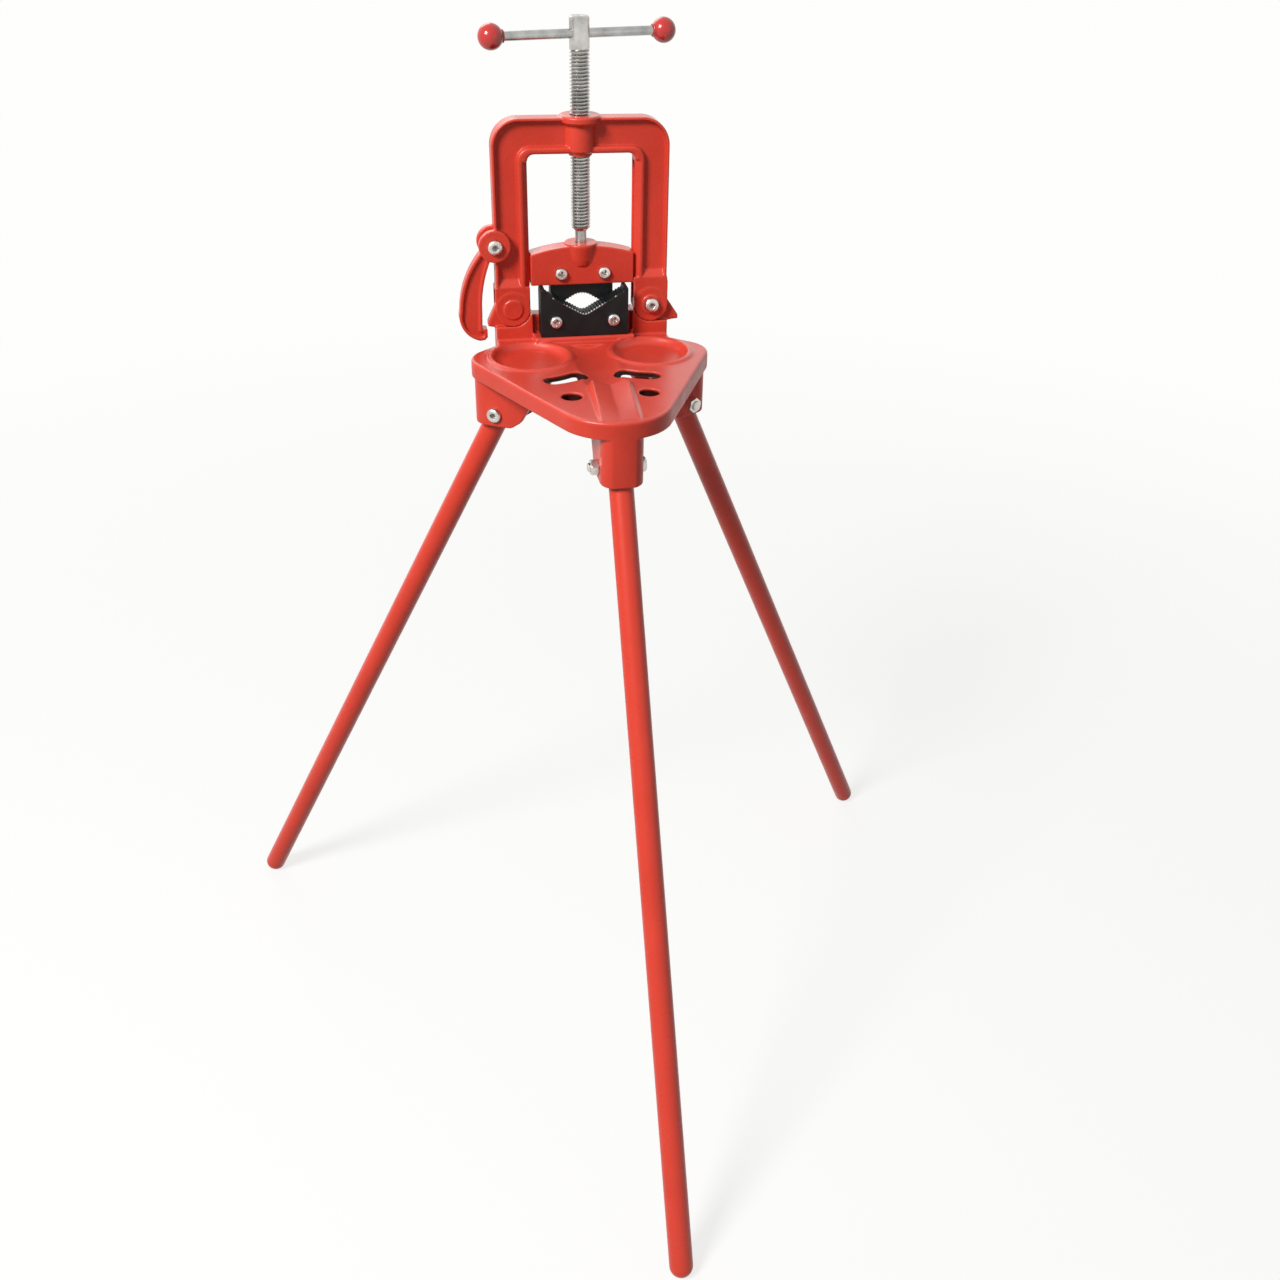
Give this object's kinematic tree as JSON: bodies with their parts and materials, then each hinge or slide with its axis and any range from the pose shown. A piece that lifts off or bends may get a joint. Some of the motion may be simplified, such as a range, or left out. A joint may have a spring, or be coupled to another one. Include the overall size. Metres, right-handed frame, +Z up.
{
  "type": "yoke pipe vise on a folding tripod stand",
  "caption": "Yoke pipe vise with V jaws, a hinged and latched frame, a T-handle screw and a tool tray, standing on folding tube legs.",
  "frame": {"origin": "on the floor, at the middle of the footprint of the three legs", "axes": "+Z up along the screw; -Y to the front, where the front leg and the tray's point are; +X towards the yoke's hinge"},
  "size_m": [0.7642, 0.6648, 0.9947],
  "materials": {
    "red_paint": "gloss over cast texture",
    "leg_paint": "satin",
    "red_plastic": "gloss",
    "bright_steel": "turned",
    "zinc_steel": "zinc plated",
    "jaw_steel": "black oxide"
  },
  "bodies": {
    "stand": {"base_casting": "red_paint", "lower_jaw": "jaw_steel", "lower_jaw_screws": "zinc_steel", "front_leg_bolt": "zinc_steel", "front_leg_nut": "zinc_steel", "left_leg_bolt": "zinc_steel", "left_leg_nut": "zinc_steel", "right_leg_bolt": "zinc_steel", "right_leg_nut": "zinc_steel"},
    "front_leg": {"front_leg": "leg_paint"},
    "left_leg": {"left_leg": "leg_paint"},
    "right_leg": {"right_leg": "leg_paint"},
    "yoke": {"yoke_frame": "red_paint", "hinge_bolt": "zinc_steel", "hinge_nut": "zinc_steel", "latch_bolt": "zinc_steel", "latch_nut": "zinc_steel"},
    "latch": {"latch_hook": "red_paint"},
    "crosshead": {"crosshead": "red_paint", "upper_jaw": "jaw_steel", "upper_jaw_screws": "zinc_steel", "spindle_pins": "zinc_steel"},
    "spindle": {"spindle": "bright_steel"},
    "handle": {"handle_bar": "bright_steel", "left_knob": "red_plastic", "right_knob": "red_plastic"}
  },
  "joints": [
    {"name": "front_leg_fold", "type": "hinge", "parent": "stand", "child": "front_leg", "pos_m": [0, 0.00913, 0.65965], "axis": [1, 0, 0], "range_deg": [0, 33]},
    {"name": "left_leg_fold", "type": "hinge", "parent": "stand", "child": "left_leg", "pos_m": [-0.08487, 0.15613, 0.65965], "axis": [-0.5, -0.866, 0], "range_deg": [0, 33]},
    {"name": "right_leg_fold", "type": "hinge", "parent": "stand", "child": "right_leg", "pos_m": [0.08487, 0.15613, 0.65965], "axis": [-0.5, 0.866, 0], "range_deg": [0, 33]},
    {"name": "yoke_hinge", "type": "hinge", "parent": "stand", "child": "yoke", "pos_m": [0.0665, 0.21213, 0.73865], "axis": [0, 1, 0], "range_deg": [0, 90]},
    {"name": "latch_swing", "type": "hinge", "parent": "yoke", "child": "latch", "pos_m": [-0.082, 0.21213, 0.79925], "axis": [0, 1, 0], "range_deg": [-3.5, 60]},
    {"name": "crosshead_slide", "type": "slide", "parent": "yoke", "child": "crosshead", "axis": [0, 0, 1], "range_m": [0, 0.07]},
    {"name": "spindle_turn", "type": "hinge", "parent": "crosshead", "child": "spindle", "pos_m": [0, 0.21213, 0.85965], "axis": [0, 0, 1], "range_deg": [0, 8400]},
    {"name": "handle_slide", "type": "slide", "parent": "spindle", "child": "handle", "axis": [0.9703, 0.2419, 0], "range_m": [-0.061, 0.061]}
  ],
  "couplings": [
    {"joint": "spindle_turn", "follows": "crosshead_slide", "rad_per_m": 2094.4}
  ]
}
